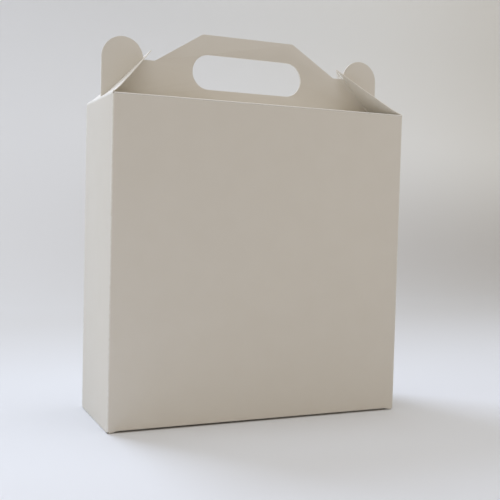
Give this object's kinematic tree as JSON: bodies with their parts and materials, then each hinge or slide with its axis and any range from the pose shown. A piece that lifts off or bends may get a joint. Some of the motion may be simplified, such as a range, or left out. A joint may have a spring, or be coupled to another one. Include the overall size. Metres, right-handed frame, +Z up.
{
  "type": "storage box with handle",
  "caption": "Upright white board carry carton: front and back panels fold over into a layered handle with a rounded hand hole, locked by pointed, slotted side flaps.",
  "frame": {"origin": "middle of the base, on the surface the carton stands on", "axes": "+Z up, +X to the right along the wide front panel, +Y from the front panel to the back panel"},
  "size_m": [0.24, 0.084, 0.2975],
  "materials": {
    "white_board": "matte uncoated"
  },
  "bodies": {
    "carton": {"carton": "white_board"},
    "left_side_flap": {"left_side_flap": "white_board"},
    "right_side_flap": {"right_side_flap": "white_board"}
  },
  "joints": [
    {"name": "left_side_flap_crease", "type": "hinge", "parent": "carton", "child": "left_side_flap", "pos_m": [-0.12, 0, 0.242], "axis": [0, -1, 0], "range_deg": [0, 170]},
    {"name": "right_side_flap_crease", "type": "hinge", "parent": "carton", "child": "right_side_flap", "pos_m": [0.12, 0, 0.242], "axis": [0, 1, 0], "range_deg": [0, 170]}
  ]
}
